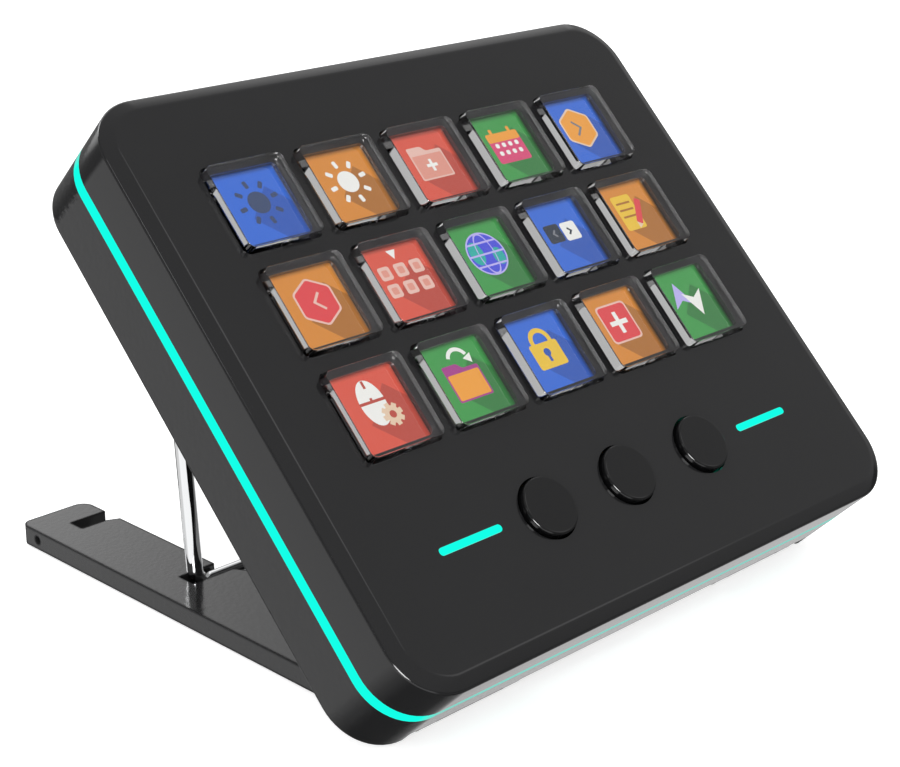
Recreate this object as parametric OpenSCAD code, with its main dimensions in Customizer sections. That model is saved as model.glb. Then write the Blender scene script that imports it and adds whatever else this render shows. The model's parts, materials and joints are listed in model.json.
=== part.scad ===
// Desktop macro keypad with display keys, three push dials, a perimeter light
// and a fold-away stand: a base plate on the lower back and a wire prop.
// Head parts are drawn in the head's own frame: X to the right, Y up the face
// from its bottom edge, Z out of the face, with the face itself at Z = 0.

/* [Head] */
// Width of the head
head_w = 119.5; // [119:0.5:122]
// Height of the head along its face
head_h = 105; // [104.5:0.5:106]
// Thickness of the head, face to back
head_t = 21.6; // [21.6:0.1:22.4]
// Radius of the head's four corners
head_r = 9.6; // [9:0.1:10.5]
// Width of the slope round the face
rim_w = 2.7; // [2.5:0.1:2.9]
// Drop of the slope round the face
rim_z = 0.85; // [0.7:0.05:0.9]
// Rounding of the rim of the back
back_rim_r = 1.6; // [1.2:0.1:1.7]
// Wall of the two shells
wall = 1.8; // [1.6:0.1:1.8]
// Thickness of the face
face_t = 1.6; // [1.6:0.1:1.8]
// Tilt of the face from the table, in degrees
tilt = 45; // [45:1:46]

/* [Light] */
// Distance of the light strip behind the face
strip_z = 8.9; // [8.7:0.1:9.1]
// Width of the light strip
strip_w = 2.1; // [2:0.1:2.1]
// Length of each light bar in the face
bar_l = 13.2; // [12:0.1:13.5]
// Width of each light bar in the face
bar_w = 1.25; // [1.2:0.05:1.8]
// Distance of each light bar from the middle of the face
bar_x = 35.9; // [35.5:0.1:36.5]

/* [Keys] */
// Distance between two keys
pitch = 19; // [19:0.1:19.2]
// Width of a key cap
key_w = 15.6; // [15.2:0.1:15.6]
// Height of a key cap above the face
key_h = 1.7; // [1.4:0.1:2]
// Radius of a key cap's corners
key_r = 1.2; // [1:0.1:1.4]
// Rounding of a key cap's top edge
key_f = 0.3; // [0.2:0.1:0.5]
// Travel of a key
key_travel = 0.3; // [0.2:0.05:0.4]
// Height of the middle row of keys above the bottom edge
row_y = 63; // [62.5:0.1:63.2]

/* [Dials] */
// Radius of a dial
dial_r = 5.1; // [4.9:0.05:5.2]
// Height of a dial above the face
dial_h = 1.2; // [1.1:0.1:2]
// Rounding of a dial's top edge
dial_f = 0.45; // [0.4:0.05:0.8]
// Height of the row of dials above the bottom edge
dial_y = 19.8; // [19.4:0.1:20]

/* [Stand] */
// Half width of the base plate
plate_hw = 49.7; // [49.5:0.1:49.8]
// Thickness of the base plate
plate_t = 3.65; // [3.6:0.05:3.7]
// Reach of the base plate behind its hinge
plate_l = 100.2; // [99.8:0.1:100.3]
// Distance of the front notch from the hinge
notch_a = 59.8; // [59.5:0.1:60]
// Distance of the rear notch from the hinge
notch_b = 92; // [91.5:0.1:92.2]
// Height of the rubber pads under the base plate
pad_h = 0.5; // [0.4:0.1:0.6]
// Radius of the prop's wire
wire_r = 1.45; // [1.4:0.05:1.45]
// Distance of each leg of the prop from the middle
leg_x = 41; // [40.8:0.1:41.2]
// Height of the prop's pivot above the bottom edge of the head
prop_y = 97.6; // [97.2:0.1:97.8]

/* [Hidden] */
$fn = 48;
cols = [-2, -1, 0, 1, 2];
rows = [1, 0, -1];
strip_lo = -strip_z - strip_w;
win_w = key_w + 0.6;
flange_w = key_w + 1.6;
flange_z = -1.1;
flange_t = 0.6;
block_w = 13.1;
lcd_z = -3.3;
mat_z = flange_z - flange_t - key_travel - 0.1;
tray_z = -5.2;
lcd_w = 103.4;
lcd_l = 66.6;
glass_w = 100.4;
glass_l = 62;
board_z = -10.6;
board_t = 1.6;
recess_z = 3.9 - head_t;
recess_w = plate_hw + 0.5;
hinge_y = 1.9;
hinge_z = plate_t / 2 - head_t;
recess_top = hinge_y + plate_l + 0.5;
prop_z = recess_z + 1.4;
cross_n = 0.12;
cross_y = hinge_y + notch_a * cos(tilt) + cross_n * sin(tilt);
cross_z = hinge_z - notch_a * sin(tilt) + cross_n * cos(tilt);
prop_l = norm([prop_y - cross_y, prop_z - cross_z]);
prop_angle = atan2(prop_z - cross_z, prop_y - cross_y);
head_up = pad_h + plate_t / 2 - hinge_y * sin(tilt) - hinge_z * cos(tilt);
rim_edge = [[0, 0.45], [0.12, 0.15], [0.4, 0]];
front_y = rim_edge[1][0] * cos(tilt) + (rim_z + rim_edge[1][1]) * sin(tilt);
hinge_back = hinge_y * cos(tilt) - hinge_z * sin(tilt);
mid_y = (front_y + hinge_back + plate_l) / 2;
screw_x = 54.4;
screw_y = [12, 93];
post_y = [26.2, 99.7];
post_x = 46;
stud_x = 44;
stud_y = [36, 88];
foot_x = 46.5;
foot_y = 9.6;
clip_x = 34.9;
clip_screw = [34.4, 2.2];
barrel_r = 1.75;

// Places its children in the head's frame
module head_frame() {
    translate([0, -mid_y, head_up]) rotate([tilt, 0, 0]) children();
}

// Places its children at the base plate's hinge: Y along the plate, Z up
module plate_frame() {
    translate([0, hinge_back - mid_y, pad_h + plate_t / 2]) children();
}

// Outline of a rectangle with round corners, centred
module outline(w, h, r) {
    if (w > 2 * r) square([w - 2 * r, h], center = true);
    if (h > 2 * r) square([w, h - 2 * r], center = true);
    for (i = [-1, 1], j = [-1, 1])
        translate([i * (w / 2 - r), j * (h / 2 - r)]) circle(r);
}

// Block with round corners between two heights
module slab(w, h, r, z0, z1) {
    translate([0, 0, z0]) linear_extrude(z1 - z0) outline(w, h, r);
}

// Half section of a block whose upper edge is rounded
module edge_section(r, z0, z1, f) {
    translate([0, z0]) square([r, z1 - z0 - f]);
    translate([0, z0]) square([r - f, z1 - z0]);
    translate([r - f, z1 - f]) circle(f);
}

// Half section of the front shell, with the slope that runs round the face
module rim_section(r, z0) {
    edge = [for (p = rim_edge) [r - p[0], -rim_z - p[1]]];
    polygon([[0, z0], [r, z0], each edge, [r - rim_w + 0.5, -0.08], [r - rim_w, 0], [0, 0]]);
}

// Block with round corners whose child is the half section of its edge
module swept_slab(w, h, r, z0, z1) {
    for (k = [0:3])
        rotate([0, 0, 90 * k])
            translate([(k % 2 == 0 ? w : h) / 2 - r, (k % 2 == 0 ? h : w) / 2 - r, 0])
                rotate_extrude(angle = 90) children();
    for (s = [0, 1]) rotate([0, 0, 180 * s]) {
        translate([w / 2 - r, h / 2 - r, 0]) rotate([90, 0, 0])
            linear_extrude(h - 2 * r) children();
        translate([-(w / 2 - r), h / 2 - r, 0]) rotate([90, 0, 90])
            linear_extrude(w - 2 * r) children();
    }
    translate([-(w / 2 - r), -(h / 2 - r), z0]) cube([w - 2 * r, h - 2 * r, z1 - z0]);
}

// Block with round corners and a rounded upper edge
module soft_slab(w, h, r, z0, z1, f) {
    swept_slab(w, h, r, z0, z1) edge_section(r, z0, z1, f);
}

// Cylinder along X from x0 to x1
module rod_x(r, x0, x1) {
    translate([x0, 0, 0]) rotate([0, 90, 0]) cylinder(r = r, h = x1 - x0);
}

// Box between two corners
module box(a, b) {
    translate(a) cube(b - a);
}

// Keys' places, one child at each
module at_keys() {
    for (c = cols, r = rows) translate([c * pitch, row_y + r * pitch, 0]) children();
}

// Case screws' places
module at_case_screws() {
    for (i = [-1, 1], y = screw_y) translate([i * screw_x, y, 0]) children();
}

// Tray screws' places
module at_posts() {
    for (i = [-1, 1], y = post_y) translate([i * post_x, y, 0]) children();
}

// Places of the tray's four studs for the board
module at_studs() {
    for (i = [-1, 1], y = stud_y) translate([i * stud_x, y, 0]) children();
}

// Places of the front shell's two feet for the board
module at_feet() {
    for (i = [-1, 1]) translate([i * foot_x, foot_y, 0]) children();
}

// Board screws' places: four into the tray, two into the front shell
module at_board_screws() {
    at_studs() children();
    at_feet() children();
}

// Front shell: face with key, dial and bar openings, rim and screw posts
module front_shell() {
    color([0.15, 0.15, 0.155]) head_frame() difference() {
        union() {
            difference() {
                translate([0, head_h / 2, 0])
                    swept_slab(head_w, head_h, head_r, -strip_z, 0) rim_section(head_r, -strip_z);
                translate([0, head_h / 2, 0])
                    slab(head_w - 2 * wall, head_h - 2 * wall, head_r - wall, -strip_z - 1, -face_t);
            }
            at_case_screws() translate([0, 0, strip_lo]) cylinder(r = 2.4, h = -strip_lo - face_t + 0.2);
            at_posts() translate([0, 0, tray_z]) cylinder(r = 2.3, h = -tray_z - face_t + 0.2);
            at_feet() translate([0, 0, board_z]) cylinder(r = 2.4, h = -board_z - face_t + 0.2);
        }
        at_keys() slab(win_w, win_w, key_r + 0.3, -5, 5);
        translate([0, row_y, 0]) slab(5 * pitch + 2.4, 3 * pitch + 2.4, 3, -3, flange_z + 0.1);
        for (i = [-1, 0, 1]) translate([i * pitch, dial_y, -5]) cylinder(r = dial_r + 0.35, h = 10);
        for (i = [-1, 1]) translate([i * bar_x, dial_y, 0])
            slab(bar_l + 0.1, bar_w + 0.1, bar_w / 2, -5, 5);
        at_case_screws() translate([0, 0, strip_lo - 1]) cylinder(r = 1.12, h = 8.6);
        at_posts() translate([0, 0, tray_z - 1]) cylinder(r = 0.92, h = 4);
        at_feet() translate([0, 0, board_z - 1]) cylinder(r = 0.92, h = 7);
    }
}

// Clip screws' places
module at_clip_screws() {
    for (i = [-1, 1]) translate([i * clip_screw[0], prop_y + clip_screw[1], 0]) children();
}

// Channel for the prop when it is folded, widened by g
module prop_channel(g, z0, z1) {
    for (i = [-1, 1])
        box([i * leg_x - wire_r - g, prop_y - prop_l - wire_r - g, z0],
            [i * leg_x + wire_r + g, prop_y + 2.3 + g, z1]);
    box([-leg_x, prop_y - prop_l - wire_r - g, z0], [leg_x, prop_y - prop_l + wire_r + g, z1]);
    for (i = [-1, 1])
        box([i * 36.6 - 4.6 - g, prop_y - 3.2 - g, z0], [i * 36.6 + 4.6 + g, prop_y + 3.2 + g, z1]);
}

// Lug that carries a hinge pin, between x0 and x1
module hinge_lug(x0, x1) {
    translate([0, hinge_y, hinge_z]) rod_x(barrel_r, x0, x1);
    box([x0, hinge_y - barrel_r, hinge_z], [x1, hinge_y + barrel_r, recess_z + 0.3]);
}

// Rear shell: tub with the recess for the base plate, prop channel and lugs
module rear_shell() {
    color([0.2, 0.2, 0.205]) head_frame() difference() {
        union() {
            difference() {
                translate([0, head_h / 2, 0]) mirror([0, 0, 1])
                    soft_slab(head_w, head_h, head_r, -strip_lo, head_t, back_rim_r);
                difference() {
                    translate([0, head_h / 2, 0])
                        slab(head_w - 2 * wall, head_h - 2 * wall, head_r - wall, wall - head_t, 0);
                    box([-recess_w - 1.3, -1, -head_t], [recess_w + 1.3, recess_top + 1.4, recess_z + 1.2]);
                    prop_channel(1.4, -head_t, prop_z + wire_r + 1.2);
                    at_case_screws() translate([0, 0, -head_t]) cylinder(r = 3.2, h = head_t + strip_lo);
                }
                box([-recess_w, -1, -head_t - 1], [recess_w, recess_top, recess_z]);
            }
            for (i = [0, 1]) mirror([i, 0, 0]) {
                hinge_lug(25, 28.7);
                hinge_lug(43.3, 47);
            }
        }
        prop_channel(0.4, -head_t - 1, prop_z + wire_r + 0.25);
        for (i = [0, 1]) mirror([i, 0, 0])
            translate([0, hinge_y, hinge_z]) rod_x(1.02, 24, 46.6);
        at_case_screws() translate([0, 0, -head_t - 1]) cylinder(r = 1.4, h = head_t);
        at_case_screws() translate([0, 0, -head_t - 1]) cylinder(r = 2.3, h = 3.2);
        at_clip_screws() translate([0, 0, prop_z]) cylinder(r = 0.62, h = wire_r + 1.05);
        translate([0, head_h - wall - 1, usb_z()]) rotate([-90, 0, 0]) slab(9.5, 3.7, 1.84, 0, 5);
        translate([0, head_h - 0.7, usb_z()]) rotate([-90, 0, 0]) slab(12.5, 5, 2.49, 0, 5);
    }
}

// Depth of the middle of the charging socket
function usb_z() = board_z - board_t - 1.6;

// Light strip: a flush ring between the two shells
module light_strip() {
    color([0.08, 1, 0.9]) head_frame() translate([0, head_h / 2, 0]) difference() {
        slab(head_w, head_h, head_r, strip_lo, -strip_z);
        slab(head_w - 2 * wall, head_h - 2 * wall, head_r - wall, strip_lo - 1, -strip_z + 1);
    }
}

// Light guide that fills a slot in the face
module light_bar(side) {
    color([0.08, 1, 0.9]) head_frame() translate([side * bar_x, dial_y, 0]) {
        slab(bar_l, bar_w, bar_w / 2, -face_t - 0.5, 0);
        slab(bar_l + 2, bar_w + 2, bar_w / 2 + 1, -face_t - 0.9, -face_t);
        slab(bar_l - 1, bar_w, bar_w / 2, board_z + 1, -face_t - 0.4);
    }
}

module light_bar_left() {
    light_bar(-1);
}

module light_bar_right() {
    light_bar(1);
}

// Flexible board that runs round inside the light strip, with its lamps
module edge_leds() {
    color([0.9, 0.88, 0.8]) head_frame() translate([0, head_h / 2, 0]) {
        difference() {
            slab(head_w - 5.1, head_h - 5.1, head_r - 2.55, strip_lo + 0.1, -strip_z + 0.3);
            slab(head_w - 5.6, head_h - 5.6, head_r - 2.8, strip_lo - 1, -strip_z + 1);
        }
        for (i = [-4:4], s = [-1, 1])
            translate([i * 11.5, s * (head_h / 2 - 2.3), -strip_z - strip_w / 2])
                cube([2.2, 0.62, 1.2], center = true);
        for (i = [-3:3], s = [-1, 1])
            translate([s * (head_w / 2 - 2.3), i * 11.5, -strip_z - strip_w / 2])
                cube([0.62, 2.2, 1.2], center = true);
    }
}

// Display panel under all the keys
module display_panel() {
    color([0.05, 0.05, 0.07]) head_frame() translate([0, row_y, 0]) {
        slab(lcd_w, lcd_l, 0.8, tray_z, lcd_z - 0.5);
        slab(glass_w, glass_l, 0.4, lcd_z - 0.6, lcd_z);
    }
}

// Flat cable from the display to the board
module display_ribbon() {
    color([0.75, 0.5, 0.15]) head_frame() {
        box([-14, 27.9, board_z + 0.9], [14, 28.15, -4]);
        box([-14, 27.9, -4.25], [14, row_y - lcd_l / 2, -4]);
        box([-15, 26.7, board_z], [15, 29.3, board_z + 1]);
    }
}

// Moulded tray that holds the display off the board
module display_tray() {
    color([0.3, 0.3, 0.31]) head_frame() difference() {
        union() {
            translate([0, row_y, 0]) slab(lcd_w, lcd_l, 1, tray_z - 1.2, tray_z);
            translate([0, row_y, 0]) difference() {
                slab(lcd_w, lcd_l, 1, board_z, tray_z - 1);
                slab(lcd_w - 3, lcd_l - 3, 0.5, board_z - 1, tray_z - 1.1);
            }
            for (x = [-25, 25]) box([x - 0.8, row_y - 33, board_z], [x + 0.8, row_y + 33, tray_z - 1]);
            at_studs() translate([0, 0, board_z]) cylinder(r = 2.6, h = tray_z - board_z - 1);
            for (i = [-1, 1]) {
                box([i * post_x - 3, post_y[0] - 2.8, tray_z - 1.2], [i * post_x + 3, row_y - 33, tray_z]);
                box([i * post_x - 3, row_y + 33, tray_z - 1.2], [i * post_x + 3, post_y[1] + 2.6, tray_z]);
            }
        }
        at_posts() translate([0, 0, tray_z - 2]) cylinder(r = 1.15, h = 3);
        at_studs() translate([0, 0, board_z - 1]) cylinder(r = 0.92, h = 5);
        box([-40, row_y - 34, board_z - 1], [-30, row_y - 31, tray_z - 2.5]);
        box([30, row_y - 34, board_z - 1], [40, row_y - 31, tray_z - 2.5]);
    }
}

// Soft mat between the keys and the display, with a window at each key
module key_mat() {
    color([0.09, 0.09, 0.095]) head_frame() difference() {
        translate([0, row_y, 0]) slab(5 * pitch + 1.6, 3 * pitch + 1.6, 2.6, lcd_z, mat_z);
        at_keys() slab(block_w + 0.5, block_w + 0.5, 0.6, lcd_z - 1, mat_z + 1);
    }
}

// Clear key cap with its flange and the block that reaches to the display
module key_cap(row, col) {
    color([0.85, 0.9, 0.92, 0.4]) head_frame()
        translate([(col - 3) * pitch, row_y + (2 - row) * pitch, 0]) {
            soft_slab(key_w, key_w, key_r, flange_z - 0.2, key_h, key_f);
            slab(flange_w, flange_w, key_r + 0.4, flange_z - flange_t, flange_z);
            slab(block_w, block_w, 1, lcd_z + key_travel + 0.05, flange_z - flange_t + 0.1);
        }
}

// Dial cap: low smooth disc with a hollow underside and a hub
module dial(n) {
    color([0.1, 0.1, 0.105]) head_frame() translate([(n - 2) * pitch, dial_y, 0]) difference() {
        rotate_extrude() {
            translate([4.25, -3.6]) square([dial_r - 4.25, 3.6 + dial_h - dial_f]);
            translate([0, -0.6]) square([dial_r, dial_h - dial_f + 0.6]);
            translate([0, -0.6]) square([dial_r - dial_f, dial_h + 0.6]);
            translate([dial_r - dial_f, dial_h - dial_f]) circle(dial_f);
            translate([0, -3.6]) square([2.6, 3.2]);
        }
        intersection() {
            translate([0, 0, -5]) cylinder(r = 1.52, h = 4.1);
            box([-2, -2, -5], [2, 1.02, -0.9]);
        }
    }
}

// Shaft with one flat, pressed in with the dial
module dial_shaft(n) {
    color([0.75, 0.75, 0.77]) head_frame() translate([(n - 2) * pitch, dial_y, 0]) intersection() {
        translate([0, 0, -9.7]) cylinder(r = 1.5, h = 8.8);
        box([-2, -2, -9.7], [2, 1, -0.9]);
    }
}

// Encoder rotor: the disc and sleeve that the shaft slides in
module encoder_rotor(n) {
    color([0.85, 0.8, 0.6]) head_frame() translate([(n - 2) * pitch, dial_y, 0]) difference() {
        union() {
            translate([0, 0, -9.3]) cylinder(r = 2.4, h = 4.9);
            translate([0, 0, -9.3]) cylinder(r = 4.2, h = 1.6);
        }
        intersection() {
            translate([0, 0, -11]) cylinder(r = 1.56, h = 8);
            box([-2, -2, -11], [2, 1.06, -3]);
        }
    }
}

// Encoder case with its bush and pins
module encoder_case(n) {
    color([0.55, 0.56, 0.57]) head_frame() translate([(n - 2) * pitch, dial_y, 0]) {
        difference() {
            union() {
                box([-5.6, -5.6, board_z], [5.6, 5.6, -6.6]);
                translate([0, 0, -6.7]) cylinder(r = 3.3, h = 1.9);
            }
            translate([0, 0, -9.8]) cylinder(r = 4.7, h = 2.6);
            translate([0, 0, -12]) cylinder(r = 1.8, h = 3);
            translate([0, 0, -8]) cylinder(r = 2.46, h = 4);
        }
    }
}

// Main circuit board
module main_board() {
    color([0.05, 0.2, 0.12]) head_frame() difference() {
        translate([0, 53.5, 0]) slab(101, 94, 1.5, board_z - board_t, board_z);
        at_board_screws() translate([0, 0, board_z - 3]) cylinder(r = 1.2, h = 4);
    }
}

// Chips, connectors and lamps on both sides of the board
module board_parts() {
    color([0.12, 0.12, 0.13]) head_frame() {
        back = board_z - board_t;
        box([-6, 60, back - 1], [4, 70, back]);
        box([12, 62, back - 0.9], [17, 68, back]);
        box([-22, 64, back - 1.6], [-16, 70, back]);
        box([20, 80, back - 1.1], [26, 86, back]);
        box([-14, 82, back - 0.8], [-9, 85, back]);
        box([-2, 80, back - 0.7], [2, 84, back]);
        box([-30, 40, back - 1.3], [-24, 52, back]);
        box([24, 42, back - 0.9], [30, 46, back]);
        for (i = [-3:3]) box([i * 4.4 - 0.8, 74, back - 0.6], [i * 4.4 + 0.8, 75, back]);
        for (i = [-1, 1], k = [-1, 1])
            translate([i * bar_x + k * 3.4, dial_y, board_z + 0.35])
                cube([2.6, 1.6, 0.7], center = true);
    }
}

// Charging and data socket at the top edge
module usb_socket() {
    color([0.75, 0.76, 0.78]) head_frame() translate([0, head_h - 1.3, usb_z()]) rotate([90, 0, 0]) {
        difference() {
            slab(8.94, 3.2, 1.6, 0, 7.4);
            slab(8.3, 2.56, 1.28, -1, 6.4);
        }
        slab(6.6, 0.7, 0.1, 1.2, 6.6);
    }
}

// Pan-head screw along +Z with its head's top at the origin
module screw(pan_r, pan_h, r, length) {
    difference() {
        union() {
            cylinder(r = pan_r, h = pan_h);
            cylinder(r = r, h = length);
        }
        for (a = [0, 90]) rotate([0, 0, a])
            translate([-pan_r * 0.6, -pan_r * 0.12, -1])
                cube([pan_r * 1.2, pan_r * 0.24, 1 + pan_h * 0.6]);
    }
}

// Four screws that close the case from the back
module case_screws() {
    color([0.35, 0.35, 0.36]) head_frame() at_case_screws()
        translate([0, 0, 0.6 - head_t]) screw(2.2, 1.6, 1.1, 16);
}

// Four screws that fix the tray to the front shell
module tray_screws() {
    color([0.6, 0.6, 0.62]) head_frame() at_posts()
        translate([0, 0, tray_z - 2.4]) screw(1.9, 1.2, 0.9, 4.8);
}

// Six screws that fix the board
module board_screws() {
    color([0.6, 0.6, 0.62]) head_frame() at_board_screws()
        translate([0, 0, board_z - board_t - 1.1]) screw(1.9, 1.1, 0.9, 6);
}

// Two clips that hold the ends of the prop in the back
module prop_clips() {
    color([0.16, 0.16, 0.165]) head_frame() for (i = [-1, 1]) difference() {
        box([i * clip_x - 2.8, prop_y - 3.3, prop_z - wire_r],
            [i * clip_x + 2.8, prop_y + 3.3, prop_z + wire_r + 0.2]);
        translate([0, prop_y, prop_z]) rod_x(wire_r + 0.06, i * clip_x - 4, i * clip_x + 4);
        at_clip_screws() translate([0, 0, prop_z - 3]) cylinder(r = 0.65, h = 6);
        at_clip_screws() translate([0, 0, prop_z - 3]) cylinder(r = 1.05, h = 3.6 - wire_r);
    }
}

// Small screws that fix the clips
module clip_screws() {
    color([0.6, 0.6, 0.62]) head_frame() at_clip_screws()
        translate([0, 0, prop_z - wire_r]) screw(1, 0.6, 0.6, 2 * wire_r + 0.9);
}

// Two pins of the base plate's hinge
module hinge_pins() {
    color([0.75, 0.75, 0.77]) head_frame() translate([0, hinge_y, hinge_z]) {
        rod_x(1, -46.5, -25.5);
        rod_x(1, 25.5, 46.5);
    }
}

// Quarter bend of the wire, from -Y round to +X, about a centre bend_r away
module wire_bend(bend_r) {
    rotate_extrude(angle = 90) translate([bend_r, 0]) circle(wire_r);
}

// Wire prop: one bail with two legs, a cross bar and two inward ends
module prop_wire() {
    bend = 3;
    color([0.8, 0.8, 0.82]) head_frame() translate([0, prop_y, prop_z]) rotate([prop_angle, 0, 0]) {
        for (i = [0, 1]) mirror([i, 0, 0]) {
            rod_x(wire_r, 32.8, leg_x - bend);
            translate([leg_x - bend, -bend, 0]) wire_bend(bend);
            translate([leg_x, -bend, 0]) rotate([90, 0, 0]) cylinder(r = wire_r, h = prop_l - 2 * bend);
            translate([leg_x - bend, bend - prop_l, 0]) rotate([0, 0, -90]) wire_bend(bend);
        }
        translate([0, -prop_l, 0]) rod_x(wire_r, bend - leg_x, leg_x - bend);
    }
}

// Outline of the base plate: a U with two notches in the inside of each leg
module plate_outline() {
    leg_in = 35.5;
    in_r = 2.5;
    out_r = 2;
    difference() {
        union() {
            translate([-plate_hw, 2.2]) square([2 * plate_hw, plate_l - 2.2 - in_r]);
            for (i = [0, 1]) mirror([i, 0]) {
                translate([leg_in + in_r, plate_l - in_r]) circle(in_r);
                translate([plate_hw - out_r, plate_l - out_r]) circle(out_r);
                translate([leg_in + in_r, plate_l - in_r - 1])
                    square([plate_hw - out_r - leg_in - in_r, in_r + 1]);
                translate([plate_hw - 2 * out_r, plate_l - in_r - 1]) square([2 * out_r, in_r + 1 - out_r]);
            }
        }
        translate([0, 64]) outline(66.4, 76, 8);
        translate([-leg_in, notch_a]) square([2 * leg_in, 80]);
        for (i = [0, 1]) mirror([i, 0]) rear_notch_outline();
    }
}

// Outline of the rear notch, with the cut corner at its mouth
module rear_notch_outline() {
    translate([0, notch_b])
        polygon([[34, 1.8], [43.2, 1.8], [43.2, -1.8], [37.7, -1.8], [35.4, -2.9], [34, -2.9]]);
}

// Base plate: legs, notches for the prop, hinge barrels and pad pockets
module base_plate() {
    color([0.3, 0.3, 0.31]) plate_frame() difference() {
        union() {
            translate([0, 0, -plate_t / 2]) linear_extrude(plate_t) plate_outline();
            for (i = [0, 1]) mirror([i, 0, 0]) {
                rod_x(barrel_r, 29, 43);
                box([29, 0, -barrel_r], [43, 2.6, barrel_r]);
            }
        }
        for (i = [0, 1]) mirror([i, 0, 0]) {
            rod_x(1.06, 28, 44);
            front_notch();
            translate([0, notch_b + 3, 0]) rod_x(0.75, plate_hw - 1.4, plate_hw + 1);
        }
        at_pads() slab(5, 13, 2.5, -plate_t, 0.6 - plate_t / 2);
    }
}

// Front notch: blind, with a sloped front wall that lets the prop out
module front_notch() {
    floor_z = 0.4 - plate_t / 2;
    translate([31, 0, 0]) rotate([90, 0, 90]) linear_extrude(12.2)
        polygon([[notch_a - 2.44, 2.2], [notch_a - 1.1, floor_z],
            [notch_a + 1.8, floor_z], [notch_a + 1.8, 2.2]]);
    translate([0, notch_a, floor_z]) linear_extrude(plate_t)
        polygon([[33, -4.8], [34.7, -2], [34.7, -1], [33, -1]]);
}

// Pads' places under the base plate
module at_pads() {
    for (i = [-1, 1]) {
        translate([i * 45, 14, 0]) children();
        translate([i * 45.6, 84, 0]) children();
    }
}

// Rubber pads that the part stands on
module base_pads() {
    color([0.1, 0.1, 0.1]) plate_frame() at_pads() slab(5, 13, 2.5, -plate_t / 2 - pad_h, 0.6 - plate_t / 2);
}

front_shell();
rear_shell();
light_strip();
light_bar_left();
light_bar_right();
edge_leds();
display_panel();
display_ribbon();
display_tray();
key_mat();
key_cap(1, 1);  // key_r1c1
key_cap(1, 2);  // key_r1c2
key_cap(1, 3);  // key_r1c3
key_cap(1, 4);  // key_r1c4
key_cap(1, 5);  // key_r1c5
key_cap(2, 1);  // key_r2c1
key_cap(2, 2);  // key_r2c2
key_cap(2, 3);  // key_r2c3
key_cap(2, 4);  // key_r2c4
key_cap(2, 5);  // key_r2c5
key_cap(3, 1);  // key_r3c1
key_cap(3, 2);  // key_r3c2
key_cap(3, 3);  // key_r3c3
key_cap(3, 4);  // key_r3c4
key_cap(3, 5);  // key_r3c5
dial(1);  // dial_1
dial(2);  // dial_2
dial(3);  // dial_3
dial_shaft(1);  // dial_shaft_1
dial_shaft(2);  // dial_shaft_2
dial_shaft(3);  // dial_shaft_3
encoder_rotor(1);  // encoder_rotor_1
encoder_rotor(2);  // encoder_rotor_2
encoder_rotor(3);  // encoder_rotor_3
encoder_case(1);  // encoder_case_1
encoder_case(2);  // encoder_case_2
encoder_case(3);  // encoder_case_3
main_board();
board_parts();
usb_socket();
case_screws();
tray_screws();
board_screws();
prop_clips();
clip_screws();
hinge_pins();
prop_wire();
base_plate();
base_pads();
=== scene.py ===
"""Looks of a macro keypad: textured shells, lit strip, clear display keys, push dials and a folding stand."""

import json
import math

import bmesh
import bpy
from mathutils import Matrix, Vector


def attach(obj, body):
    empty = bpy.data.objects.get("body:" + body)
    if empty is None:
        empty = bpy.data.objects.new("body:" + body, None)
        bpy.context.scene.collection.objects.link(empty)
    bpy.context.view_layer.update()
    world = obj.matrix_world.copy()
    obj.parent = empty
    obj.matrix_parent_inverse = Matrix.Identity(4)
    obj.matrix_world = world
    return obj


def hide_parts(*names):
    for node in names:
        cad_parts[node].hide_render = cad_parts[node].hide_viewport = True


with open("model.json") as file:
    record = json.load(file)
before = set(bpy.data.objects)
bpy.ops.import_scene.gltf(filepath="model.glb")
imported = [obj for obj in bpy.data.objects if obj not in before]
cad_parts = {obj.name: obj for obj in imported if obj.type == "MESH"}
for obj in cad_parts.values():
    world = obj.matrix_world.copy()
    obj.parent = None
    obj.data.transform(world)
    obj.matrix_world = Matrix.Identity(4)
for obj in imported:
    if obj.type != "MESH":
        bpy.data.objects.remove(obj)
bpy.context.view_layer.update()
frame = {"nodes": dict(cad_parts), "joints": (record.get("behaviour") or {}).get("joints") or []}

bl_info = {
    "name": "Macro Keypad",
    "version": (1, 0, 0),
    "blender": (4, 5, 0),
    "location": "3D View > Sidebar > Keypad",
    "description": "Builds the looks of a macro keypad with display keys, push dials and a folding stand",
    "category": "Object",
}

MM = 0.001
KEY_PITCH = 19.0
# Shift of each motif behind its key, and the middle of the coloured field behind the motif
PICTURE_SHIFT = (0.19, 0.84)
PICTURE_MIDDLE = (-0.24, -1.24)
MIDDLE_ROW = 2
MIDDLE_COLUMN = 3
KEYS = tuple((row, column) for row in (1, 2, 3) for column in (1, 2, 3, 4, 5))
DIALS = (1, 2, 3)
# Size in mm of the soft clouds in a finish's shade, and the range that a noise's values fill
CLOUD = 14
NOISE_LOW, NOISE_HIGH = 0.3, 0.7
# Distance in mm within which vertices are one, and the angles that still count as flat and that get rounded
WELD = 0.001
FLAT = 0.5
SHARP = 50
# Share of its own colour that a lit surface keeps as paint
LIT_PAINT = 0.04
JOINTS = {joint["name"]: joint for joint in frame["joints"]}

# What gloss and glass see: towards where, outer and inner angle, and level, below zero for a black flag
LAMPS = (
    ((-0.69, -0.7, 0.18), 16, 10, 20.0),
    ((-0.62, -0.25, 0.74), 6, 3, 3.0),
    ((0.6, -0.58, 0.46), 11, 4, 0.7),
    ((0.36, -0.42, 0.8), 11, 5, 1.0),
    ((0.66, 0.5, 0.55), 14, 6, 0.8),
    ((-0.35, 0.65, 0.65), 22, 12, -0.35),
    ((0.1, 0.9, 0.42), 36, 20, 1.1),
    ((-0.18, 0.84, 0.5), 14, 8, 7.0),
)

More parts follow.
